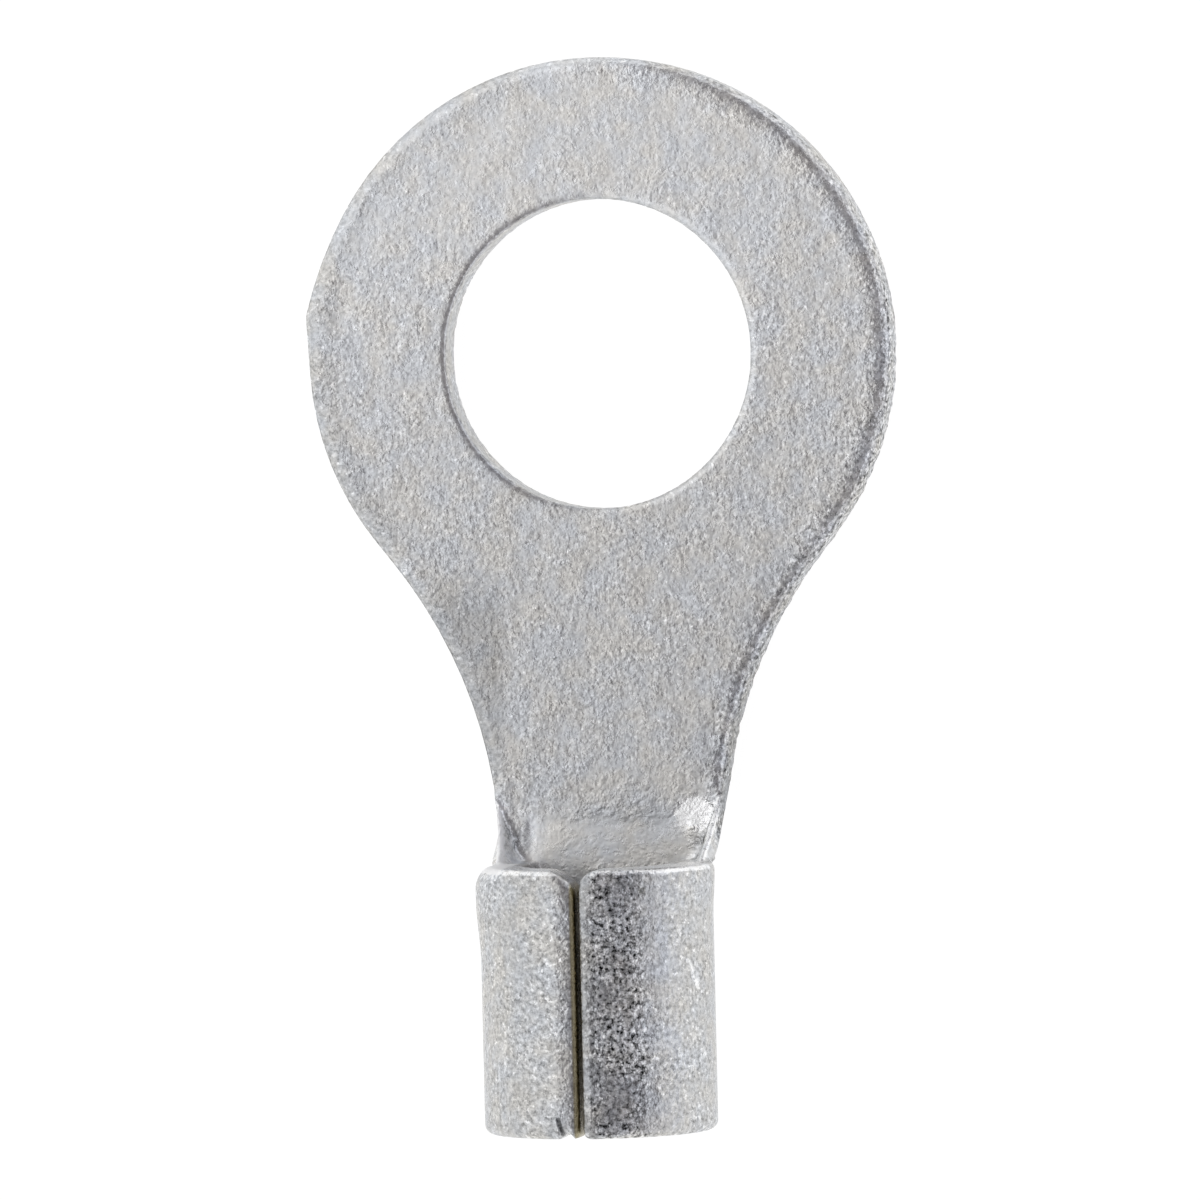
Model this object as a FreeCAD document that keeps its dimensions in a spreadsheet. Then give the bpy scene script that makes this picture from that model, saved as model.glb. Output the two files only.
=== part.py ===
# Ring terminal with a bare wire barrel, stamped from one strip of tinned copper and rolled to a butted seam.
# Lengths are millimetres and angles are degrees.
# The origin is the centre of the stud hole on the tongue's back face. +Z leaves through the hole on the
# seam's side, +Y points to the ring's tip, and the wire leaves the barrel along -Y.

import FreeCAD, Part
import math
import os
import Sketcher
from FreeCAD import Vector

NODE = "terminal_body"

# The nib is the small bulge that the strip's cut-off leaves on the ring's left side. It starts above the
# hole's centre and ends on a tangent below it.
DIMENSIONS = {
    "stock": 1.0,
    "hole_dia": 7.0,
    "ring_dia": 13.4,
    "nib_start": 3.3,
    "nib_foot": 0.35,
    "nib_radius": 9.4,
    "nib_round": 0.4,
    "neck_width": 5.1,
    "neck_radius": 10.75,
    "flank_length": 0.7,
    "hole_to_barrel": 11.45,
    "curl_length": 1.85,
    "bend_zone": 0.98,
    "edge_tilt": 44,
    "coining": 0.05,
    "heel_length": 1.35,
    "mouth_round": 0.4,
    "mouth_lead": 0.1,
    "mouth_sill": 0.02,
    "bore_dia": 3.25,
    "barrel_length": 6.0,
    "seam_gap": 0.15,
    "left_corner": 0.62,
    "right_corner": 0.45,
    "wing_round": 0.14,
    "end_round": 0.22,
    "roll_over": 0.25,
    "edge_round": 0.12,
    "hole_round": 0.08,
}

# Shares of the curl's run at which its section is drawn.
CURL_STATIONS = (0.25, 0.5, 0.75, 1.0)

# The heel ends inside the barrel's wall: half its floor, its tilt, and shares of the stock.
HEEL_FLOOR = 0.25
HEEL_TILT = 60
HEEL_DEPTH = 0.425
HEEL_STOCK = 0.7
HEEL_RISE = 0.15

# The mouth's cut ends inside the bore: shares of the bore's radius.
MOUTH_TOP = 0.97
MOUTH_END_WIDTH = 0.62
MOUTH_END_DROP = 0.72

# How a sketch numbers a curve's own points, its origin and its vertical axis.
START, END, CENTRE = range(1, 4)
ORIGIN = (-1, 1)
VERTICAL_AXIS = -2
SAME = 0.001


def make_sheet(doc):
    """The spreadsheet of driving dimensions, one alias a row."""
    sheet = doc.addObject("Spreadsheet::Sheet", "Dimensions")
    for row, (alias, size) in enumerate(DIMENSIONS.items(), start=1):
        sheet.set(f"A{row}", alias)
        sheet.set(f"B{row}", str(size))
        sheet.setAlias(f"B{row}", alias)
    doc.recompute()
    return sheet


class Flank:
    """The blank's right flank: it leaves the ring on a tangent and narrows to the neck on a concave arc."""

    def __init__(self, sheet):
        ring = sheet.ring_dia / 2
        self.radius = sheet.neck_radius
        self.centre_x = sheet.neck_width / 2 + self.radius
        reach = ring + self.radius
        slant = math.hypot(reach, sheet.flank_length)
        self.angle = math.acos(self.centre_x / slant) - math.atan2(sheet.flank_length, reach)
        across = math.cos(self.angle)
        down = math.sin(self.angle)
        self.leaves_ring = Vector(ring * across, -ring * down, 0)
        self.meets_arc = self.leaves_ring + Vector(-down, -across, 0) * sheet.flank_length
        self.centre_y = self.meets_arc.y - self.radius * down
        self.centre = Vector(self.centre_x, self.centre_y, 0)

    def lean(self, y):
        """The angle above the concave arc's centre at a place along the neck."""
        return math.asin((y - self.centre_y) / self.radius)

    def half_width(self, y):
        return self.centre_x - self.radius * math.cos(self.lean(y))


def mirrored(point):
    return Vector(-point.x, point.y, 0)


def new_sketch(body, name, role, offset=0.0):
    """A sketch on one of the body's own origin planes, moved along the plane's normal."""
    sketch = body.newObject("Sketcher::SketchObject", name)
    plane = next(feature for feature in body.Origin.OriginFeatures if feature.Role == role)
    sketch.AttachmentSupport = (plane, [""])
    sketch.MapMode = "FlatFace"
    sketch.AttachmentOffset = FreeCAD.Placement(Vector(0, 0, offset), FreeCAD.Rotation())
    return sketch


def line(start, end):
    return Part.LineSegment(start, end)


def arc(centre, radius, start, end):
    """An arc that runs anticlockwise from one angle to the other, in radians."""
    return Part.ArcOfCircle(Part.Circle(centre, Vector(0, 0, 1), radius), start, end)


def tie(sketch, kind, *where):
    """A geometric constraint."""
    sketch.addConstraint(Sketcher.Constraint(kind, *where))


def size(sketch, kind, where, value, formula):
    """A dimensional constraint, bound to the sheet."""
    index = sketch.addConstraint(Sketcher.Constraint(kind, *where, value))
    sketch.setExpression(f"Constraints[{index}]", formula)


def angle_of(point, centre):
    """The point's direction from the centre, from 0 to a full turn, in radians."""
    return math.atan2(point.y - centre.y, point.x - centre.x) % (2 * math.pi)


class Nib:
    """The nib's long arc, its crest and the line that runs back to the ring, each tangent to the next."""

    def __init__(self, sheet):
        ring = sheet.ring_dia / 2
        radius = sheet.nib_radius
        bend = sheet.nib_round
        self.start = Vector(-math.sqrt(ring ** 2 - sheet.nib_start ** 2), sheet.nib_start, 0)
        self.foot = Vector(-math.sqrt(ring ** 2 - sheet.nib_foot ** 2), -sheet.nib_foot, 0)
        self.centre = self.start * (1 - radius / ring)
        outward = self.foot / ring
        upward = Vector(outward.y, -outward.x, 0)
        level = outward * (ring - bend)
        offset = self.centre - level
        along = offset.dot(upward)
        spare = (radius - bend) ** 2 - offset.Length ** 2 + along ** 2
        self.crest = level + upward * (along + math.sqrt(spare))
        self.joins_crest = (self.crest - self.centre) * (radius / (radius - bend)) + self.centre
        self.leaves_crest = self.crest + outward * bend


def tongue(body, sheet):
    """The ring with its nib and the flanks, as far as the strip stays flat."""
    flank = Flank(sheet)
    ring = sheet.ring_dia / 2
    flat_end = sheet.curl_length - sheet.hole_to_barrel
    lean = flank.lean(flat_end)
    width = flank.half_width(flat_end)
    origin = Vector(0, 0, 0)
    nib = Nib(sheet)
    left_leaves = mirrored(flank.leaves_ring)
    left_meets = mirrored(flank.meets_arc)
    left_centre = mirrored(flank.centre)
    corner = Vector(width, flat_end, 0)

    sketch = new_sketch(body, "TongueOutline", "XY_Plane")
    add = sketch.addGeometry
    start_angle = angle_of(nib.start, origin)
    crest_angle = angle_of(nib.joins_crest, nib.crest)
    foot_angle = angle_of(nib.foot, origin)
    ring_arc = add(arc(origin, ring, -flank.angle, start_angle))
    nib_arc = add(arc(nib.centre, sheet.nib_radius, start_angle, crest_angle))
    crest_arc = add(arc(nib.crest, sheet.nib_round, crest_angle, foot_angle))
    nib_line = add(line(nib.leaves_crest, nib.foot))
    left_arc = add(arc(origin, ring, foot_angle, math.pi + flank.angle))
    left_line = add(line(left_leaves, left_meets))
    left_flank = add(arc(left_centre, flank.radius, lean, flank.angle))
    end_line = add(line(mirrored(corner), corner))
    right_flank = add(arc(flank.centre, flank.radius, math.pi - flank.angle, math.pi - lean))
    right_line = add(line(flank.meets_arc, flank.leaves_ring))

    tie(sketch, "Coincident", ring_arc, CENTRE, *ORIGIN)
    tie(sketch, "Coincident", left_arc, CENTRE, *ORIGIN)
    tie(sketch, "Tangent", ring_arc, END, nib_arc, START)
    tie(sketch, "Tangent", nib_arc, END, crest_arc, START)
    tie(sketch, "Tangent", crest_arc, END, nib_line, START)
    tie(sketch, "Tangent", nib_line, END, left_arc, START)
    tie(sketch, "Tangent", left_arc, END, left_line, START)
    tie(sketch, "Tangent", left_line, END, left_flank, END)
    tie(sketch, "Coincident", left_flank, START, end_line, START)
    tie(sketch, "Coincident", end_line, END, right_flank, END)
    tie(sketch, "Tangent", right_flank, START, right_line, START)
    tie(sketch, "Tangent", right_line, END, ring_arc, START)
    tie(sketch, "Horizontal", end_line)
    tie(sketch, "Equal", ring_arc, left_arc)
    tie(sketch, "Equal", left_flank, right_flank)
    tie(sketch, "Equal", left_line, right_line)

    radius = "Dimensions.ring_dia / 2"
    reach = "Dimensions.neck_width / 2 + Dimensions.neck_radius"
    flat = "Dimensions.hole_to_barrel - Dimensions.curl_length"
    size(sketch, "Radius", (ring_arc,), ring, radius)
    size(sketch, "Radius", (right_flank,), flank.radius, "Dimensions.neck_radius")
    size(sketch, "Distance", (right_line,), sheet.flank_length, "Dimensions.flank_length")
    size(sketch, "DistanceX", (*ORIGIN, right_flank, CENTRE), flank.centre_x, reach)
    size(sketch, "DistanceX", (left_flank, CENTRE, *ORIGIN), flank.centre_x, reach)
    size(sketch, "DistanceY", (end_line, START, *ORIGIN), -flat_end, flat)
    size(sketch, "DistanceY", (*ORIGIN, nib_arc, START), sheet.nib_start, "Dimensions.nib_start")
    size(sketch, "DistanceY", (nib_line, END, *ORIGIN), sheet.nib_foot, "Dimensions.nib_foot")
    size(sketch, "Radius", (nib_arc,), sheet.nib_radius, "Dimensions.nib_radius")
    size(sketch, "Radius", (crest_arc,), sheet.nib_round, "Dimensions.nib_round")

    pad = body.newObject("PartDesign::Pad", "Tongue")
    pad.Profile = sketch
    pad.setExpression("Length", "Dimensions.stock")


class Section:
    """The formed strip's section: a flat floor whose sides bend up, with cut edges square to them."""

    def __init__(self, y, floor, radius, tilt, stock, rise, edge_round):
        self.y = y
        self.floor = floor
        self.radius = radius
        self.tilt = tilt
        self.stock = stock
        self.rise = rise
        self.edge_round = edge_round

    def draw(self, sketch):
        inner = self.radius - self.stock
        bend = self.edge_round
        turn = self.tilt - math.asin(bend / (inner + bend))
        centre = Vector(self.floor, self.rise + self.radius, 0)
        edge_way = Vector(math.sin(self.tilt), -math.cos(self.tilt), 0)
        bend_way = Vector(math.sin(turn), -math.cos(turn), 0)
        bend_centre = centre + bend_way * (inner + bend)
        edge_top = centre + edge_way * math.sqrt(inner ** 2 + 2 * inner * bend)
        edge = line(centre + edge_way * self.radius, edge_top)
        down = -math.pi / 2
        bottom = Vector(self.floor, self.rise, 0)
        top = Vector(self.floor, self.rise + self.stock, 0)
        left = mirrored(centre)
        sketch.addGeometry([
            line(mirrored(bottom), bottom),
            arc(centre, self.radius, down, down + self.tilt),
            edge,
            arc(bend_centre, bend, self.tilt, down + turn + math.pi),
            arc(centre, inner, down, down + turn),
            line(top, mirrored(top)),
            arc(left, inner, down - turn, down),
            arc(mirrored(bend_centre), bend, -down - turn, math.pi - self.tilt),
            line(mirrored(edge.EndPoint), mirrored(edge.StartPoint)),
            arc(left, self.radius, down - self.tilt, down),
        ])


def flat_section(body, sheet, sketch):
    """The tongue's own end face, its long sides parted where the bends will begin."""
    y = sheet.curl_length - sheet.hole_to_barrel
    floor = Flank(sheet).half_width(y) - sheet.bend_zone
    to_sketch = sketch.Placement.toMatrix().inverse()
    edges = []
    for face in body.Tip.Shape.Faces:
        if abs(face.BoundBox.YMin - y) < SAME and face.BoundBox.YLength < SAME:
            edges = face.OuterWire.OrderedEdges
    for edge in edges:
        start = to_sketch.multVec(edge.firstVertex(True).Point)
        end = to_sketch.multVec(edge.lastVertex(True).Point)
        if edge.BoundBox.XLength > sheet.bend_zone:
            near = Vector(math.copysign(floor, start.x), start.y, 0)
            far = mirrored(near)
            sketch.addGeometry([line(start, near), line(near, far), line(far, end)])
        elif edge.BoundBox.XLength > SAME:
            # The curve's ends are set on the face's corners, so that the section closes.
            curve = edge.Curve.toBSpline(edge.FirstParameter, edge.LastParameter)
            curve.transform(to_sketch)
            forward = edge.Orientation == "Forward"
            curve.setPole(1, start if forward else end)
            curve.setPole(curve.NbPoles, end if forward else start)
            sketch.addGeometry(curve)
        else:
            sketch.addGeometry(line(start, end))


def curl_section(sheet, along):
    """The section at a share of the curl. The sides' tilt grows from nothing and levels off at the barrel."""
    y = sheet.curl_length * (1 - along) - sheet.hole_to_barrel
    grown = (1 - math.cos(math.pi * along)) / 2
    tilt = math.radians(sheet.edge_tilt) * grown
    return Section(
        y=y,
        floor=Flank(sheet).half_width(y) - sheet.bend_zone,
        radius=sheet.bend_zone / math.sin(tilt),
        tilt=tilt,
        stock=sheet.stock - sheet.coining * grown,
        rise=0,
        edge_round=sheet.roll_over + (sheet.edge_round - sheet.roll_over) * along,
    )


def draw_section(body, name, section):
    sketch = new_sketch(body, name, "XZ_Plane", -section.y)
    section.draw(sketch)
    return sketch


def curl(body, sheet):
    """The strip between the tongue and the barrel, and the heel that fairs it into the barrel's wall."""
    start = new_sketch(body, "CurlStart", "XZ_Plane", sheet.hole_to_barrel - sheet.curl_length)
    flat_section(body, sheet, start)
    drawn = []
    for number, along in enumerate(CURL_STATIONS, start=1):
        drawn.append(draw_section(body, f"CurlSection{number}", curl_section(sheet, along)))
    loft = body.newObject("PartDesign::AdditiveLoft", "Curl")
    loft.Profile = start
    loft.Sections = drawn

    front = curl_section(sheet, 1)
    heel_end = Section(
        y=front.y - sheet.heel_length,
        floor=HEEL_FLOOR,
        radius=sheet.bore_dia / 2 + sheet.stock * HEEL_DEPTH,
        tilt=math.radians(HEEL_TILT),
        stock=sheet.stock * HEEL_STOCK,
        rise=sheet.stock * HEEL_RISE,
        edge_round=sheet.edge_round,
    )
    heel = body.newObject("PartDesign::AdditiveLoft", "Heel")
    heel.Profile = draw_section(body, "HeelStart", front)
    heel.Sections = [draw_section(body, "HeelEnd", heel_end)]
    heel.Ruled = True


def barrel(body, sheet):
    """The rolled barrel: one wall around the bore, parted by the seam."""
    inner = sheet.bore_dia / 2
    outer = inner + sheet.stock
    half = sheet.seam_gap / 2
    centre = Vector(0, outer, 0)
    mouth = Vector(half, outer + math.sqrt(inner ** 2 - half ** 2), 0)
    lip = Vector(half, outer + math.sqrt(outer ** 2 - half ** 2), 0)
    outer_angle = angle_of(lip, centre)
    inner_angle = angle_of(mouth, centre)

    sketch = new_sketch(body, "BarrelSection", "XZ_Plane", sheet.hole_to_barrel)
    sketch.setExpression("AttachmentOffset.Base.z", "Dimensions.hole_to_barrel")
    add = sketch.addGeometry
    outside = add(arc(centre, outer, math.pi - outer_angle, outer_angle + 2 * math.pi))
    inside = add(arc(centre, inner, math.pi - inner_angle, inner_angle + 2 * math.pi))
    right_edge = add(line(mouth, lip))
    left_edge = add(line(mirrored(mouth), mirrored(lip)))

    tie(sketch, "Coincident", outside, CENTRE, inside, CENTRE)
    tie(sketch, "PointOnObject", outside, CENTRE, VERTICAL_AXIS)
    tie(sketch, "Coincident", right_edge, START, inside, END)
    tie(sketch, "Coincident", right_edge, END, outside, END)
    tie(sketch, "Coincident", left_edge, START, inside, START)
    tie(sketch, "Coincident", left_edge, END, outside, START)
    tie(sketch, "Vertical", right_edge)
    tie(sketch, "Vertical", left_edge)
    wall = "Dimensions.bore_dia / 2 + Dimensions.stock"
    size(sketch, "Radius", (inside,), inner, "Dimensions.bore_dia / 2")
    size(sketch, "Radius", (outside,), outer, wall)
    size(sketch, "DistanceY", (*ORIGIN, outside, CENTRE), outer, wall)
    size(sketch, "DistanceX", (*ORIGIN, right_edge, START), half, "Dimensions.seam_gap / 2")
    size(sketch, "DistanceX", (left_edge, START, *ORIGIN), half, "Dimensions.seam_gap / 2")

    pad = body.newObject("PartDesign::Pad", "Barrel")
    pad.Profile = sketch
    pad.setExpression("Length", "Dimensions.barrel_length")


def draw_mouth(body, name, y, corner, high, bend):
    """A flat-bottomed section that narrows upwards, its lower corners rounded."""
    turn = math.pi - math.atan2(high.y - corner.y, corner.x - high.x)
    reach = bend * math.tan(turn / 2)
    low = corner - Vector(reach, 0, 0)
    side = corner + (high - corner).normalize() * reach
    centre = low + Vector(0, bend, 0)
    sketch = new_sketch(body, name, "XZ_Plane", -y)
    sketch.addGeometry([
        line(mirrored(low), low),
        arc(centre, bend, -math.pi / 2, turn - math.pi / 2),
        line(side, high),
        line(high, mirrored(high)),
        line(mirrored(high), mirrored(side)),
        arc(mirrored(centre), bend, -math.pi / 2 - turn, -math.pi / 2),
    ])
    return sketch


def mouth(body, sheet):
    """Opens the barrel's floor at the front, where the flat strip turns into the round wall."""
    front = curl_section(sheet, 1)
    bore = sheet.bore_dia / 2
    axis = sheet.stock + bore
    inner_edge = front.floor + (front.radius - front.stock) * math.sin(front.tilt)
    bend = sheet.mouth_round
    start_low = Vector(inner_edge - front.edge_round, sheet.stock + sheet.mouth_sill, 0)
    start_high = Vector(bore * MOUTH_TOP, axis, 0)
    end_low = Vector(bore * MOUTH_END_WIDTH, axis - bore * MOUTH_END_DROP, 0)
    end_high = Vector(end_low.x, axis, 0)
    cut = body.newObject("PartDesign::SubtractiveLoft", "Mouth")
    cut.Profile = draw_mouth(body, "MouthStart", front.y + sheet.mouth_lead, start_low, start_high, bend)
    cut.Sections = [draw_mouth(body, "MouthEnd", front.y - sheet.heel_length, end_low, end_high, bend)]
    cut.Ruled = True


def stud_hole(body, sheet):
    sketch = new_sketch(body, "StudHoleCircle", "XY_Plane")
    circle = sketch.addGeometry(Part.Circle(Vector(0, 0, 0), Vector(0, 0, 1), sheet.hole_dia / 2))
    tie(sketch, "Coincident", circle, CENTRE, *ORIGIN)
    size(sketch, "Diameter", (circle,), sheet.hole_dia, "Dimensions.hole_dia")
    before = body.Shape.Volume
    pocket = body.newObject("PartDesign::Pocket", "StudHole")
    pocket.Profile = sketch
    pocket.Type = "ThroughAll"
    pocket.Midplane = True
    body.Document.recompute()
    if body.Shape.Volume >= before:
        raise RuntimeError("the stud hole cuts nothing")


def check(doc):
    """Stops on a feature that failed or a body that isn't one valid solid."""
    doc.recompute()
    for thing in doc.Objects:
        if {"Invalid", "Error"} & set(thing.State):
            raise RuntimeError(f"{thing.Name} failed")
        if thing.TypeId == "PartDesign::Body":
            shape = thing.Shape
            if shape.isNull() or not shape.isValid() or len(shape.Solids) != 1:
                raise RuntimeError(f"{thing.Label} isn't one valid solid")


def round_edges(body, name, alias, chosen):
    """Rounds the body's edges whose middle point and box pass the test, and those that run on from them."""
    base = body.Tip
    edges = []
    for number, edge in enumerate(base.Shape.Edges, start=1):
        if chosen(edge.CenterOfMass, edge.BoundBox):
            edges.append(f"Edge{number}")
    fillet = body.newObject("PartDesign::Fillet", name)
    fillet.Base = (base, edges)
    fillet.setExpression("Radius", f"Dimensions.{alias}")
    check(body.Document)


def ring_edges(sheet):
    """Picks the outline's and the hole's upper edges."""
    def on_top(box):
        return abs(box.ZMin - sheet.stock) < SAME and abs(box.ZMax - sheet.stock) < SAME

    def outline(middle, box):
        return on_top(box) and box.YMax > sheet.ring_dia / 2 - SAME

    def hole(middle, box):
        return on_top(box) and abs(box.XLength - sheet.hole_dia) < SAME

    return outline, hole


def round_barrel(body, sheet):
    """The wings' corners beside the seam, then the edges that the tumbling has rounded."""
    front = -sheet.hole_to_barrel
    wire_end = front - sheet.barrel_length
    mouth = sheet.stock + sheet.bore_dia
    crown = mouth + sheet.stock / 2

    def wing_corner(side):
        def chosen(middle, box):
            on_seam = abs(middle.x - side * sheet.seam_gap / 2) < SAME
            return on_seam and abs(middle.y - front) < SAME and middle.z > mouth
        return chosen

    def seam_lips(middle, box):
        on_seam = abs(abs(middle.x) - sheet.seam_gap / 2) < SAME
        return on_seam and middle.z > crown and box.YLength > sheet.barrel_length / 2

    def wire_rim(middle, box):
        return abs(middle.y - wire_end) < SAME and box.XLength > sheet.bore_dia + sheet.stock

    round_edges(body, "LeftWingCorner", "left_corner", wing_corner(-1))
    round_edges(body, "RightWingCorner", "right_corner", wing_corner(1))
    round_edges(body, "WireEndRounding", "end_round", wire_rim)
    round_edges(body, "WingRounding", "wing_round", seam_lips)


def new_body(doc, name, label):
    body = doc.addObject("PartDesign::Body", name)
    body.Label = label
    body.Placement = FreeCAD.Placement()
    return body


def main():
    doc = FreeCAD.newDocument("RingTerminal")
    sheet = make_sheet(doc)
    outline, hole = ring_edges(sheet)

    rolled = new_body(doc, "BarrelBody", "barrel_blank")
    barrel(rolled, sheet)
    check(doc)
    round_barrel(rolled, sheet)
    mouth(rolled, sheet)
    check(doc)

    body = new_body(doc, "TerminalBody", NODE)
    tongue(body, sheet)
    check(doc)
    stud_hole(body, sheet)
    round_edges(body, "OutlineRollOver", "roll_over", outline)
    round_edges(body, "HoleRollOver", "hole_round", hole)
    curl(body, sheet)
    check(doc)
    join = body.newObject("PartDesign::Boolean", "BarrelJoined")
    join.Type = "Fuse"
    join.setObjects([rolled])
    check(doc)
    os.makedirs("parts", exist_ok=True)
    body.Shape.exportStep(f"parts/{NODE}.step")
    print("volume", round(body.Shape.Volume, 3), "mm3")


main()
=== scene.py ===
import math
import bpy
import numpy as np
from mathutils import Matrix, Vector


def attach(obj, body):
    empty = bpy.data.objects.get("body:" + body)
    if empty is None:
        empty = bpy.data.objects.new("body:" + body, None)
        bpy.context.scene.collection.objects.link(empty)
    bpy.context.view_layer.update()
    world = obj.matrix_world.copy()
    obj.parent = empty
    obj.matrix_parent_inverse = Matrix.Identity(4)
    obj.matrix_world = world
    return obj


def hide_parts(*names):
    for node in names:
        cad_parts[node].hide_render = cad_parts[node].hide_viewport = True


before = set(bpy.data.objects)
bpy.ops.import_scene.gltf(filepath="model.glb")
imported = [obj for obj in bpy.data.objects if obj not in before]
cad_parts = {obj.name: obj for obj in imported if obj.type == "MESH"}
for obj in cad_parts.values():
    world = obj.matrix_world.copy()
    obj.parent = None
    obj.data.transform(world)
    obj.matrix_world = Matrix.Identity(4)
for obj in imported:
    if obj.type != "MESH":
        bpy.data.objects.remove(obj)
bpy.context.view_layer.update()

MM = 0.001
IMAGE_SIDE = 1200

# Mesh sizes, in millimetres: before and after the sides are raised.
FIRST_VOXEL = 0.07
VOXEL = 0.078

# Camera: it looks down on the terminal, a little from the right. Millimetres, degrees, pixels.
SENSOR_WIDTH = 36
EYE_DISTANCE = 250
EYE_YAW = 10.63
EYE_PITCH = 0.34
EYE_ROLL = 1.33
PIXELS_PER_MM = 44.11
HOLE_X = 605.4
HOLE_Y = 353.4

# The terminal's own sizes, in millimetres: the ring's tip is at +y, the wire leaves at -y.
BARREL_FRONT = -11.45
WIRE_END = -17.45
CURL_START = -9.6
CURL_LENGTH = 1.85
FLANK_X = 13.3
FLANK_Y = -11.318
FLANK_RADIUS = 10.75
BEND_ZONE = 0.98
EDGE_TILT = math.radians(44)
STOCK = 1.0
COINING = 0.05
BORE_DIA = 3.25
RING_RADIUS = 6.7
FLANK_TOP = -4.4
BARREL_RADIUS = STOCK + BORE_DIA / 2

# How the strip's sides reach the barrel, in millimetres where nothing else is said.
SIDE_HEIGHT = 1.6
SIDE_END_LIFT = 0.25
SIDE_SPREAD = 0.03
RIGHT_SIDE_DRAW = 0.1
WALL_INSET = 0.46
WALL_HEIGHT = 1.3
WALL_START = 0.58  # share of the bend
BEVEL_START = 0.8  # share of the bend
BEVEL_WIDTH = 0.2


def make_camera():
    focal = PIXELS_PER_MM * EYE_DISTANCE
    turn = (
        Matrix.Rotation(math.radians(EYE_ROLL), 3, "Z")
        @ Matrix.Rotation(math.radians(EYE_PITCH), 3, "X")
        @ Matrix.Rotation(math.radians(-EYE_YAW), 3, "Y")
    )
    middle = IMAGE_SIDE / 2
    to_middle = Vector(((middle - HOLE_X) / focal, (HOLE_Y - middle) / focal, -1))
    forward = (turn.transposed() @ to_middle).normalized()
    up = turn.transposed() @ Vector((0, 1, 0))
    up = (up - forward * up.dot(forward)).normalized()
    right = forward.cross(up)
    data = bpy.data.cameras.new("camera")
    data.sensor_width = SENSOR_WIDTH
    data.lens = SENSOR_WIDTH * focal / IMAGE_SIDE
    data.clip_start = 0.01
    data.clip_end = 10
    camera = bpy.data.objects.new("camera", data)
    place = Matrix((right, up, -forward)).transposed().to_4x4()
    place.translation = turn.transposed() @ Vector((0, 0, EYE_DISTANCE * MM))
    camera.matrix_world = place
    bpy.context.scene.collection.objects.link(camera)
    bpy.context.scene.camera = camera


class Nodes:
    """Short calls for building one node tree."""

    def __init__(self, tree):
        self.tree = tree
        tree.nodes.clear()

    def add(self, kind, inputs=(), **settings):
        node = self.tree.nodes.new(kind)
        for name, value in settings.items():
            setattr(node, name, value)
        for key, value in dict(inputs).items():
            self.put(node, key, value)
        return node

    def put(self, node, key, value):
        socket = node.inputs[key]
        if isinstance(value, bpy.types.NodeSocket):
            self.tree.links.new(value, socket)
        else:
            socket.default_value = value

    def math(self, operation, *values):
        node = self.add("ShaderNodeMath", operation=operation)
        for i, value in enumerate(values):
            self.put(node, i, value)
        return node.outputs[0]

    def times(self, *values):
        result = values[0]
        for value in values[1:]:
            result = self.math("MULTIPLY", result, value)
        return result

    def total(self, *values):
        result = values[0]
        for value in values[1:]:
            result = self.math("ADD", result, value)
        return result

    def step(self, value, start, end, low=0.0, high=1.0):
        """Runs smoothly from low to high while the value runs from start to end."""
        inputs = {"Value": value, "From Min": start, "From Max": end, "To Min": low, "To Max": high}
        node = self.add("ShaderNodeMapRange", inputs, interpolation_type="SMOOTHSTEP")
        return node.outputs["Result"]

    def region(self, *fades):
        """One where every (value, start, end) fade is past its end, fading to nothing."""
        return self.times(*[self.step(*fade) for fade in fades])

    def weighted(self, *pairs):
        """The sum of (value, weight) pairs."""
        return self.total(*[self.times(value, weight) for value, weight in pairs])

    def power(self, value, exponent):
        return self.math("POWER", value, exponent)

    def minus(self, value, taken):
        return self.math("SUBTRACT", value, taken)

    def length(self, first, second):
        return self.math("SQRT", self.total(self.times(first, first), self.times(second, second)))

    def oval(self, x, y, centre, radii):
        """The squared distance from the centre, one at the given radii."""
        parts = []
        for value, middle, radius in zip((x, y), centre, radii):
            parts.append(self.power(self.math("DIVIDE", self.minus(value, middle), radius), 2.0))
        return self.total(*parts)

    def ramp(self, factor, stops):
        """A colour ramp whose stops are (position, grey or colour) pairs."""
        node = self.add("ShaderNodeValToRGB", {"Fac": factor})
        elements = node.color_ramp.elements
        while len(elements) < len(stops):
            elements.new(0.5)
        for element, (position, grey) in zip(elements, stops):
            element.position = position
            element.color = (grey, grey, grey, 1) if isinstance(grey, (int, float)) else (*grey, 1)
        return node.outputs["Color"]

    def noise(self, where, scale, detail=2.0, roughness=0.5):
        inputs = {"Vector": where, "Scale": scale, "Detail": detail, "Roughness": roughness}
        return self.add("ShaderNodeTexNoise", inputs).outputs["Fac"]

    def mix(self, factor, first, second, blend="MIX"):
        node = self.add("ShaderNodeMix", data_type="RGBA", blend_type=blend)
        for index, value in ((0, factor), (6, first), (7, second)):
            if isinstance(value, tuple):
                value = (*value, 1)
            self.put(node, index, value)
        return node.outputs[2]

    def stroke(self, x, y, start, end, width):
        """One on a straight scratch between two points, and nothing beyond its width."""
        along = Vector(end) - Vector(start)
        length = along.length
        along.normalize()
        dx = self.minus(x, start[0])
        dy = self.minus(y, start[1])
        run = self.total(self.times(dx, along.x), self.times(dy, along.y))
        held = self.math("MINIMUM", self.math("MAXIMUM", run, 0.0), length)
        off_x = self.minus(dx, self.times(held, along.x))
        off_y = self.minus(dy, self.times(held, along.y))
        return self.step(self.length(off_x, off_y), width, width * 0.3)


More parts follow.
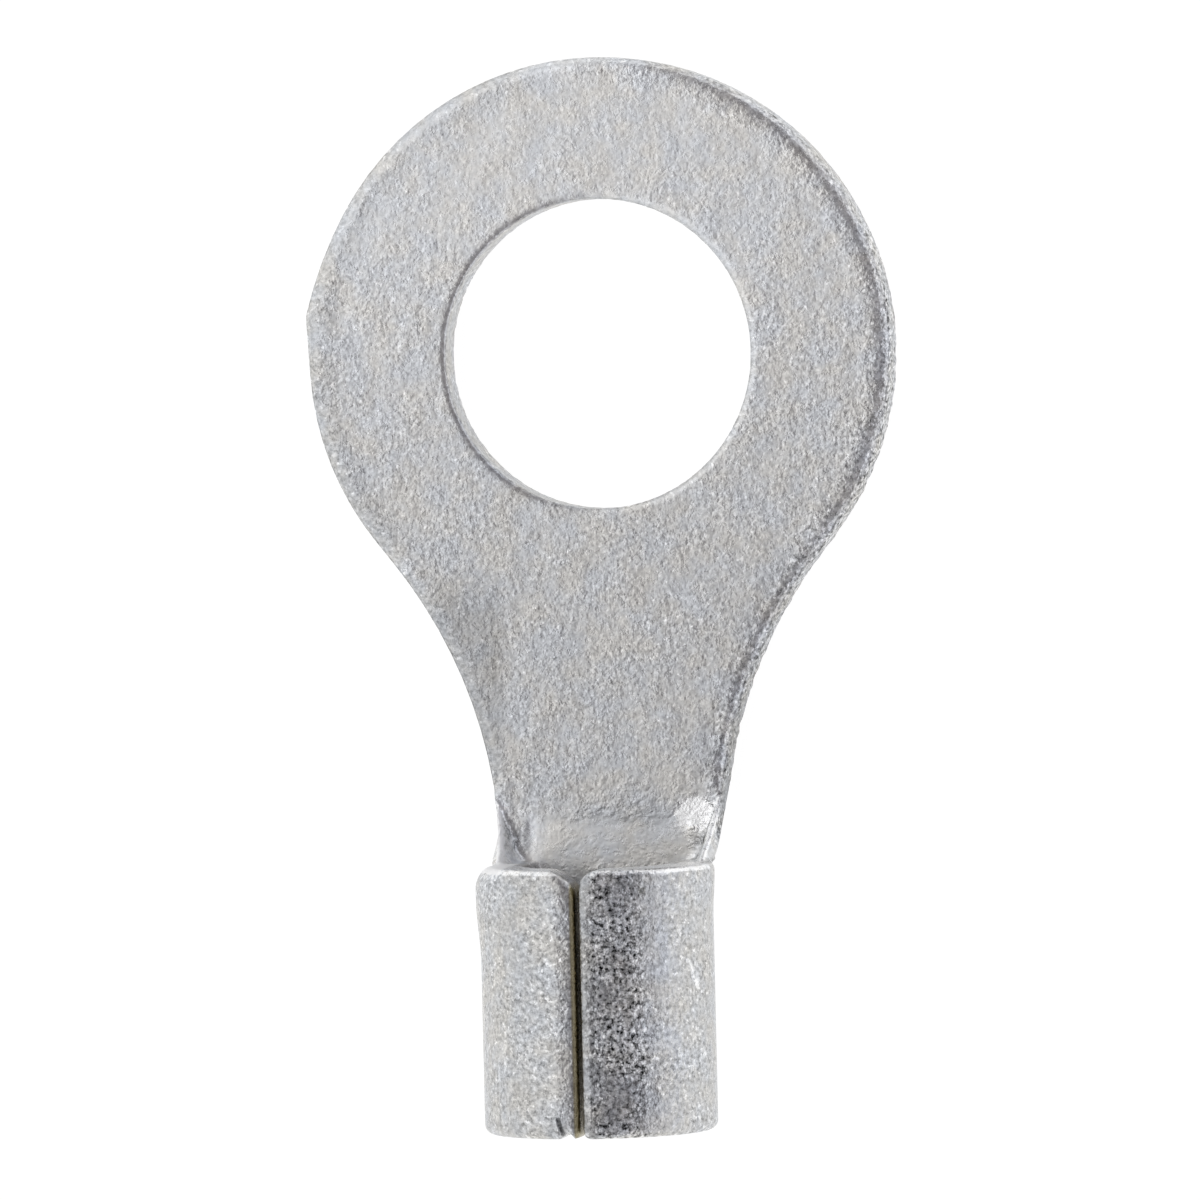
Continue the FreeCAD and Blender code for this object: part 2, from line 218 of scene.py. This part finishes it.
# Scratches and dents on the barrel: start, end, half width, height (mm), change of brightness; the
# dents' darkening is painted shade in their grooves.
MARKS = [
    ((2.288, -13.536), (2.457, -14.186), 0.05, 0.010, 0.45),
    ((-1.778, -14.99), (-1.808, -16.02), 0.06, 0.006, 0.30),
    ((0.24, -16.69), (0.232, -17.05), 0.05, 0.006, 0.30),
    ((-0.42, -12.10), (-0.34, -12.22), 0.09, 0.014, 0.30),
    ((-0.62, -12.60), (-0.52, -12.70), 0.07, 0.012, 0.30),
    ((-0.50, -17.0), (-0.36, -17.45), 0.07, -0.03, -0.75),
    ((1.44, -11.95), (1.46, -11.92), 0.07, -0.05, -0.55),
    ((2.50, -15.57), (2.53, -15.70), 0.05, 0.008, 0.30),
]
GRAIN_HEIGHT = 0.022
PIT_HEIGHT = 0.010
SWELL_HEIGHT = 0.008
SEAM_BROWN = (0.36, 0.32, 0.21)
WARM_TIN = (0.632, 0.62, 0.595)
COOL_TIN = (0.605, 0.62, 0.64)


def throat_regions(n, mm, x, y, z):
    """The formed length between the tongue and the barrel: floor and walls, with painted light on
    them: painted highlights along the walls' upper edges and on a patch at the right bend, and the
    throat floor, the left wall and its foot painted brighter.
    """
    side = n.math("ABSOLUTE", x)
    curled = n.math("DIVIDE", n.minus(CURL_START, y), CURL_LENGTH)
    curled = n.math("MAXIMUM", curled, 0.0)
    inner_edge = n.minus(2.57, n.times(n.power(curled, 1.35), 0.544))
    off_edge = n.math("ABSOLUTE", n.minus(side, n.math("ADD", inner_edge, 0.1)))
    wall_top = n.minus(z, n.total(n.times(n.power(curled, 1.8), WALL_HEIGHT), 0.65))
    # painted highlight: a rounded bright patch at the right bend, with weaker grain and lower
    # roughness under it
    painted_highlight_patch = n.oval(x, y, (1.98, -10.42), (0.5, 0.4))
    painted_highlight_patch = n.total(painted_highlight_patch, n.times(n.noise(mm, 3.0, 3.0, 0.7), 2.4), -1.2)
    return {
        # the throat: its grain is smoothed, and its floor is painted brighter, a painted light
        "throat": n.region((y, -10.2, -10.75), (side, 2.0, 1.75), (z, 1.5, 1.2)),
        # painted highlight: a bright line along the walls' upper inner edges
        "painted_edge_highlight": n.region(
            (off_edge, 0.3, 0.18), (y, -9.9, -10.3), (y, -11.6, -11.45),
            (z, 0.9, 1.05), (wall_top, 0.0, 0.15),
        ),
        # painted light: the left wall and, just below it, its foot are painted brighter than the
        # dark room they reflect; the wall is also rougher
        "left_wall": n.region(
            (x, -1.8, -1.95), (y, -10.0, -10.4), (z, 1.0, 1.08), (y, -11.7, -11.6),
        ),
        "foot": n.region(
            (x, -1.55, -1.7), (x, -2.1, -2.0), (y, -10.1, -10.4), (y, -11.7, -11.6), (z, 1.3, 1.1),
        ),
        "painted_highlight_patch": n.region((painted_highlight_patch, 1.3, 0.5), (z, 0.9, 1.0)),
    }


def tongue_regions(n, x, y, z, facing):
    """The ring and the neck: their cut faces, the band along their rims where the grain is
    stronger, and their left rims made darker.
    """
    side = n.math("ABSOLUTE", x)
    down = n.minus(y, BARREL_FRONT)
    neck = n.total(n.times(down, down, 0.05), 2.55)
    ring_rim = n.region((n.length(x, y), 5.9, 6.4), (y, -4.7, -4.2))
    neck_rim = n.region((n.minus(side, neck), -0.6, -0.25), (y, -4.2, -4.7), (y, -11.3, -10.8))
    both = n.total(ring_rim, neck_rim)
    return {
        "sheared": n.region((y, -11.5, -11.3), (z, 1.2, 1.05), (facing, 0.75, 0.35)),
        # the ring's and the neck's left rims are made darker
        "left_ring": n.times(ring_rim, n.step(x, -0.5, -2.5)),
        "darker_left_neck": n.region(
            (x, -1.0, -1.4), (y, -4.5, -6.0), (y, -9.9, -9.2), (n.minus(side, 2.2), 0.0, 0.35),
        ),
        "rim": n.times(both, n.step(x, -1.0, 1.0, 0.4, 1.0)),
    }


def barrel_regions(n, x, y, z):
    """The barrel: its seam, the lip beside it, its dark side, its front rim and its outside. The
    lip gets painted shade, the dark side a painted dark reflection, and the front rim a painted
    highlight.
    """
    above = n.minus(z, BARREL_RADIUS)
    return {
        "barrel": n.step(y, -11.4, -11.7),
        "seam": n.region((x, -0.17, -0.12), (x, 0.1, 0.05), (y, -11.6, -11.9), (z, 3.5, 3.6)),
        # painted shade: the lip beside the seam on the right wing is darkened
        "lip": n.region((x, 0.08, 0.14), (x, 0.55, 0.3), (z, 4.6, 4.9)),
        # painted reflection: the dark band along the right wing, where it reflects the dark room,
        # is darkened a little and given stronger specks
        "band": n.region((x, 0.15, 0.4), (x, 1.6, 1.3), (z, 3.5, 4.0)),
        # painted highlight along the barrel's front rim
        "front_rim": n.region((y, -11.58, -11.54), (y, -11.42, -11.45), (z, 2.6, 3.0)),
        "outside": n.region((n.length(x, above), 2.1, 2.3), (above, 0.0, 0.3)),
    }


def make_tin():
    material = bpy.data.materials.new("tin_plate")
    material.use_nodes = True
    n = Nodes(material.node_tree)
    coords = n.add("ShaderNodeTexCoord")
    to_mm = {"Vector": coords.outputs["Object"], "Scale": (1 / MM, 1 / MM, 1 / MM)}
    mm = n.add("ShaderNodeMapping", to_mm).outputs["Vector"]
    place = n.add("ShaderNodeSeparateXYZ", {0: mm})
    x, y, z = place.outputs["X"], place.outputs["Y"], place.outputs["Z"]
    normal = n.add("ShaderNodeSeparateXYZ", {0: coords.outputs["Normal"]})
    at = throat_regions(n, mm, x, y, z)
    at.update(tongue_regions(n, x, y, z, n.math("ABSOLUTE", normal.outputs["Z"])))
    at.update(barrel_regions(n, x, y, z))

    # How strong the tumbled grain is, and where it is weakened: in the throat, and under the
    # painted highlight patch.
    rough_grain = n.times(
        n.step(n.noise(mm, 0.9, 2.0, 0.6), 0.35, 0.65, 0.75, 1.25),
        n.step(y, 6.0, -1.0, 0.5, 0.93),
        n.step(at["throat"], 0.0, 1.0, 1.0, 0.35),
        n.step(at["sheared"], 0.0, 1.0, 1.0, 1.6),
        n.total(1.0, n.weighted((at["barrel"], 0.7), (at["rim"], 1.1),
                                (n.times(at["sheared"], at["rim"]), 0.5), (at["band"], 0.5))),
        n.step(at["painted_highlight_patch"], 0.0, 1.0, 1.0, 0.45),
    )
    height = n.weighted(
        (n.times(n.noise(mm, 9.5, 3.0, 0.6), rough_grain), GRAIN_HEIGHT),
        (n.times(n.noise(mm, 4.5, 1.0, 0.5), rough_grain), PIT_HEIGHT),
        (n.noise(mm, 1.1, 1.0, 0.5), SWELL_HEIGHT),
    )
    # Painted light and shade in the colour: painted highlights on the throat's edges, the right
    # bend's patch and the barrel's front rim; the throat floor, left wall and its foot painted
    # brighter; painted shade on the seam's lip and the dark band; the left rims darker; then the
    # marks' changes of brightness.
    painted_light_and_marks = n.total(1.0, n.weighted(
        (at["painted_edge_highlight"], 0.9), (at["front_rim"], 0.6), (at["painted_highlight_patch"], 0.9), (at["lip"], -0.22),
        (at["darker_left_neck"], -0.22), (at["left_wall"], 0.4), (at["foot"], 0.2), (at["band"], -0.06),
        (at["throat"], 0.24), (at["left_ring"], -0.15),
    ))
    for start, end, width, raised, brighter in MARKS:
        mark = n.times(n.stroke(x, y, start, end, width), at["outside"])
        height = n.total(height, n.times(mark, raised))
        painted_light_and_marks = n.total(painted_light_and_marks, n.times(mark, brighter))
    bump = n.add("ShaderNodeBump", {"Height": height, "Distance": MM, "Strength": 1.0})

    # Colour: fine light and dark specks, a fall from the ring's tip to the wire end, and cut faces
    # darkened, partly for their duller sheared finish and partly as painted shade.
    contrast = n.minus(n.noise(mm, 10.0, 3.0, 0.65), 0.5)
    sharpness = n.total(1.5, n.times(at["band"], 1.6))
    speckle = n.total(1.0, n.times(contrast, rough_grain, sharpness))
    elsewhere = n.add("ShaderNodeMapping", {"Vector": mm, "Location": (31.0, 17.0, 5.0)})
    glint = n.step(n.noise(elsewhere.outputs["Vector"], 8.0, 2.0, 0.6), 0.58, 0.74)
    glint = n.times(glint, rough_grain, 0.5)
    fall = n.times(n.step(y, 6.5, -8.5, 1.235, 1.0), n.step(y, -11.3, -11.6, 1.0, 0.9))
    spared = n.minus(1.0, n.times(at["left_wall"], 1.3))
    # the cut faces' darkening: partly their duller sheared finish, partly painted shade
    dull_and_shaded_cuts = n.times(at["sheared"], n.step(y, -5.0, -9.0, 0.2, 0.45), spared)
    tone = n.times(n.total(speckle, glint), fall, painted_light_and_marks, n.minus(1.0, dull_and_shaded_cuts))
    grey = n.add("ShaderNodeCombineXYZ", {0: tone, 1: tone, 2: tone}).outputs[0]
    warmth = n.ramp(n.noise(mm, 1.3, 2.0, 0.6), [(0.35, WARM_TIN), (0.65, COOL_TIN)])
    tint = n.mix(at["seam"], n.mix(1.0, warmth, grey, "MULTIPLY"), SEAM_BROWN)
    rough = n.total(
        n.step(n.noise(mm, 5.0, 2.0, 0.6), 0.3, 0.7, 0.25, 0.33),
        n.weighted((at["sheared"], 0.15), (at["painted_highlight_patch"], -0.1), (at["left_wall"], 0.35)),
    )
    shader = n.add("ShaderNodeBsdfPrincipled", {
        "Base Color": tint, "Roughness": rough, "Normal": bump.outputs["Normal"], "Metallic": 1.0,
    })
    n.add("ShaderNodeOutputMaterial", {"Surface": shader.outputs["BSDF"]})
    return material


def smooth(value, start, end):
    share = np.clip((value - start) / (end - start), 0, 1)
    return share * share * (3 - 2 * share)


def neck_angle(y):
    """The flank arc's angle at this y; its cosine gives the neck's half width."""
    return np.arcsin(np.clip((y - FLANK_Y) / FLANK_RADIUS, -1, 1))


def raise_sides(p):
    """Draws the strip's bent sides up to the barrel's wall and turns their cut edges upwards."""
    x, y, z = p[:, 0], p[:, 1], p[:, 2]
    side = np.abs(x)
    along = np.clip((CURL_START - y) / CURL_LENGTH, 0, 1)
    grown = (1 - np.cos(np.pi * along)) / 2
    half = FLANK_X - FLANK_RADIUS * np.cos(neck_angle(y))
    floor = half - BEND_ZONE

    # Where the point lies in the bent strip: its share of the bend and its depth in the stock.
    tilt = np.maximum(EDGE_TILT * grown, 0.001)
    radius = BEND_ZONE / np.sin(tilt)
    stock = STOCK - COINING * grown
    theta = np.arctan2(side - floor, radius - z)
    depth = np.clip((radius - np.hypot(side - floor, radius - z)) / stock, -0.05, 1.05)
    share = np.clip(theta / tilt, 0, 1.05)
    chosen = (along > 0.06) & (y > BARREL_FRONT - 0.02) & (side > floor) & (z < SIDE_HEIGHT)
    chosen &= theta < tilt * 1.15

    # The outer face turns up to the barrel's side; the inner one is floor, wall and bevel.
    turn = np.maximum(np.pi / 2 * grown, 0.01)
    reach = np.sin(turn * share) / np.sin(turn)
    rise = (1 - np.cos(turn * share)) / (1 - np.cos(turn))
    spread = SIDE_SPREAD * along ** 2 - np.where(x > 0, RIGHT_SIDE_DRAW, 0.0) * along ** 8
    outer_x = floor + (half + spread - floor) * reach
    outer_z = (SIDE_HEIGHT * along ** 1.6 + SIDE_END_LIFT * along ** 8) * rise
    foot = half - WALL_INSET * along ** 1.35
    bevel = BEVEL_WIDTH * along * np.clip((share - BEVEL_START) / (1 - BEVEL_START), 0, 1)
    inner_x = floor + (foot - floor) * np.clip(share / WALL_START, 0, 1) + bevel
    wall_start = WALL_START - 0.02
    wall = np.clip((share - wall_start) / (1 - wall_start), 0, 1)
    inner_z = stock + WALL_HEIGHT * along ** 1.8 * wall
    new_x = outer_x * (1 - depth) + inner_x * depth
    new_z = outer_z * (1 - depth) + inner_z * depth
    ease = smooth(along, 0.06, 0.2)

    # Behind the barrel's front, the heel's corners lie on the barrel's round.
    radius = BARREL_RADIUS - 0.005
    away = np.hypot(x, z - radius)
    heel = (y < BARREL_FRONT - 0.02) & (away > radius) & (z < radius)
    drawn = (1 - radius / np.maximum(away, 1)) * smooth(side, 1.2, 1.9)
    drawn *= smooth(y, BARREL_FRONT, BARREL_FRONT - 0.1)

    out = p.copy()
    out[heel, 0] -= (x * drawn)[heel]
    out[heel, 2] -= ((z - radius) * drawn)[heel]
    out[chosen, 0] = (np.sign(x) * (side + (new_x - side) * ease))[chosen]
    out[chosen, 2] = (z + (new_z - z) * ease)[chosen]
    return out


def from_outline(x, y):
    """How far inside the tongue's outline a point lies."""
    inside_ring = RING_RADIUS - np.hypot(x, y)
    bend = neck_angle(y)
    inside_neck = (FLANK_X - FLANK_RADIUS * np.cos(bend) - np.abs(x)) * np.cos(bend)
    return np.where(y > FLANK_TOP, inside_ring, inside_neck)


def wear_barrel(x, y, z, out):
    """The wings' edges, the left front corner, the flared sides and the nick at the wire end."""
    barrel = y < BARREL_FRONT + 0.02
    left_lip = barrel & (z > 4.7) & (x < -0.05) & (x > -0.6)
    out[left_lip, 2] -= 0.055 * smooth(x, -0.52, -0.1)[left_lip]
    lips = barrel & (z > 3.6)
    out[lips, 0] += (np.where(x < 0, 0.045, -0.02) * smooth(np.abs(x), 0.4, 0.1))[lips]
    corner = barrel & (z > 1.9) & (x < 0)
    inset = 0.12 * np.clip(1 - (BARREL_FRONT - y) / 0.35, 0, 1) ** 2
    inset *= smooth(z, 1.9, 2.5) * smooth(np.abs(x), 1.6, 2.5)
    out[corner, 0] += inset[corner]
    left = 0.09 * smooth(y, -13.6, -12.2) * smooth(y, -11.5, -11.9)
    left *= smooth(-x, 1.5, 2.6) * smooth(z, 1.5, 2.6)
    right = 0.045 * smooth(y, -12.6, -11.7) * smooth(x, 1.5, 2.5)
    out[barrel, 0] += (right - left)[barrel]
    nick = barrel & (z > 4.2)
    depth = 0.2 * np.clip(1 - np.abs(x + 0.33) / 0.14, 0, 1) * smooth(y, -17.0, WIRE_END)
    out[nick, 1] += depth[nick]


def wear_throat(x, y, z, out):
    """The throat's floor runs on flat under the wings before it takes the bore's round."""
    entry = (np.abs(x) < 1.95) & (y < -10.3) & (y > -13.2) & (z > 0.85) & (z < 1.6)
    flat = STOCK - COINING + 0.02 * np.maximum(-11.3 - y, 0)
    share = smooth(np.abs(x), 1.95, 1.8) * smooth(z, 1.6, 1.4)
    share *= smooth(y, -13.2, -12.6) * smooth(y, -10.3, -11.3)
    out[entry, 2] += ((flat - z) * share)[entry]


def wear_tongue(x, y, z, out):
    """The faces fall away towards their rims, and the right flank's cut is uneven."""
    roll = 0.018 + 0.042 * smooth(x, -1.0, 1.0)
    near_rim = np.clip(1 - from_outline(x, y) / 0.7, 0, 1) ** 2
    out[:, 2] -= roll * near_rim * ((y > CURL_START) & (z > 0.6))
    right = x > 0.9 * np.sqrt(np.clip(RING_RADIUS ** 2 - y ** 2, 9, None))
    flank = right & (y > BARREL_FRONT + 0.02) & (y < 0) & (y > -9) & (z < 1.05)
    ripple = np.sin(y * 9.1) * np.sin(y * 3.7 + 1) + 0.6 * np.sin(y * 17.3 + z * 3)
    out[flank, 0] += 0.012 * ripple[flank] - 0.008


def wear(p):
    out = p.copy()
    for rule in (wear_barrel, wear_throat, wear_tongue):
        rule(p[:, 0], p[:, 1], p[:, 2], out)
    return out


def evaluated(thing):
    bpy.context.view_layer.update()
    graph = bpy.context.evaluated_depsgraph_get()
    return bpy.data.meshes.new_from_object(thing.evaluated_get(graph))


def even_mesh(thing, target, voxel):
    """An even mesh of the thing, drawn back onto the target's surface."""
    remesh = thing.modifiers.new("even", "REMESH")
    remesh.mode = "VOXEL"
    remesh.voxel_size = voxel * MM
    wrap = thing.modifiers.new("wrap", "SHRINKWRAP")
    wrap.target = target
    wrap.wrap_method = "NEAREST_SURFACEPOINT"
    mesh = evaluated(thing)
    thing.modifiers.clear()
    return mesh


def move_points(mesh, *rules):
    flat = np.empty(len(mesh.vertices) * 3)
    mesh.vertices.foreach_get("co", flat)
    points = flat.reshape(-1, 3) / MM
    for rule in rules:
        points = rule(points)
    mesh.vertices.foreach_set("co", (points * MM).ravel())
    mesh.update()


def make_terminal():
    """The terminal's skin: the solid's own surface on an even mesh, raised and worn."""
    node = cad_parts["terminal_body"]
    rough = bpy.data.objects.new("rough", node.data.copy())
    skin = bpy.data.objects.new("terminal", node.data.copy())
    for thing in (rough, skin):
        bpy.context.scene.collection.objects.link(thing)
    rough.data = even_mesh(rough, node, FIRST_VOXEL)
    move_points(rough.data, raise_sides)
    skin.data = rough.data.copy()
    mesh = even_mesh(skin, rough, VOXEL)
    skin.data = mesh
    bpy.data.objects.remove(rough)
    mesh.name = "terminal"
    move_points(mesh, wear)
    for polygon in mesh.polygons:
        polygon.use_smooth = True
    mesh.materials.clear()
    mesh.materials.append(make_tin())
    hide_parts("terminal_body")
    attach(skin, "root")
    return skin


def make_floor():
    mesh = bpy.data.meshes.new("floor")
    signs = ((-1, -1), (1, -1), (1, 1), (-1, 1))
    corners = [(x * FLOOR_SIDE, y * FLOOR_SIDE, -FLOOR_DROP * MM) for x, y in signs]
    mesh.from_pydata(corners, [], [(0, 1, 2, 3)])
    floor = bpy.data.objects.new("floor", mesh)
    bpy.context.scene.collection.objects.link(floor)
    material = bpy.data.materials.new("floor")
    material.use_nodes = True
    n = Nodes(material.node_tree)
    path = n.add("ShaderNodeLightPath")
    seen = n.math("MAXIMUM", path.outputs["Is Camera Ray"], path.outputs["Is Glossy Ray"])
    seen = n.math("MAXIMUM", seen, path.outputs["Is Transmission Ray"])
    plain = n.add("ShaderNodeBsdfDiffuse", {"Color": (0.8, 0.8, 0.8, 1)})
    paper = n.add("ShaderNodeBsdfDiffuse", {"Color": (0.16, 0.16, 0.16, 1)})
    glow = n.add("ShaderNodeEmission", {"Color": (1, 1, 1, 1), "Strength": 0.95})
    both = n.add("ShaderNodeAddShader", {0: paper.outputs[0], 1: glow.outputs[0]})
    mix = n.add("ShaderNodeMixShader", {0: seen, 1: plain.outputs[0], 2: both.outputs[0]})
    n.add("ShaderNodeOutputMaterial", {"Surface": mix.outputs[0]})
    mesh.materials.append(material)


# The room's light by the direction's angle from upright towards the right, in degrees.
ROOM = [
    (-90, (0.84, 0.845, 0.86)),
    (-30, (0.84, 0.845, 0.86)),
    (-25, (1.14, 1.14, 1.16)),
    (-17, (1.14, 1.14, 1.16)),
    (-11, (0.79, 0.79, 0.79)),
    (-1, (0.27, 0.26, 0.275)),
    (50, (0.27, 0.26, 0.275)),
    (57, (0.33, 0.325, 0.335)),
    (63, (0.93, 0.945, 1.01)),
    (90, (0.95, 0.965, 1.03)),
]
KEY_PLACE = (-0.60, 0.30, 0.60)
KEY_SIDE = 0.9
KEY_WATTS = 0.5
FLOOR_SIDE = 3.0
FLOOR_DROP = 0.01


def make_world():
    world = bpy.data.worlds.new("studio")
    bpy.context.scene.world = world
    world.use_nodes = True
    n = Nodes(world.node_tree)
    where = n.add("ShaderNodeTexCoord").outputs["Generated"]
    part = n.add("ShaderNodeSeparateXYZ", {0: where})
    angle = n.math("ARCTAN2", part.outputs["X"], part.outputs["Z"])
    turn = n.math("ADD", n.math("DIVIDE", angle, math.pi), 0.5)
    tent = n.ramp(turn, [(degrees / 180 + 0.5, light) for degrees, light in ROOM])
    path = n.add("ShaderNodeLightPath")
    room = n.add("ShaderNodeBackground", {"Color": tent, "Strength": 1.0})
    white = n.add("ShaderNodeBackground", {"Color": (1, 1, 1, 1), "Strength": 1.0})
    seen = path.outputs["Is Camera Ray"]
    mix = n.add("ShaderNodeMixShader", {0: seen, 1: room.outputs[0], 2: white.outputs[0]})
    n.add("ShaderNodeOutputWorld", {"Surface": mix.outputs[0]})


def make_key():
    """One soft square lamp, upper left, that faces the terminal."""
    data = bpy.data.lights.new("key", "AREA")
    data.shape = "SQUARE"
    data.size = KEY_SIDE
    data.energy = KEY_WATTS
    lamp = bpy.data.objects.new("key", data)
    lamp.location = KEY_PLACE
    lamp.rotation_mode = "QUATERNION"
    lamp.rotation_quaternion = (-Vector(KEY_PLACE)).to_track_quat("-Z", "Y")
    bpy.context.scene.collection.objects.link(lamp)


make_camera()
make_world()
make_key()
make_floor()
make_terminal()

bpy.context.scene.view_settings.view_transform = "Standard"
bpy.context.view_layer.update()
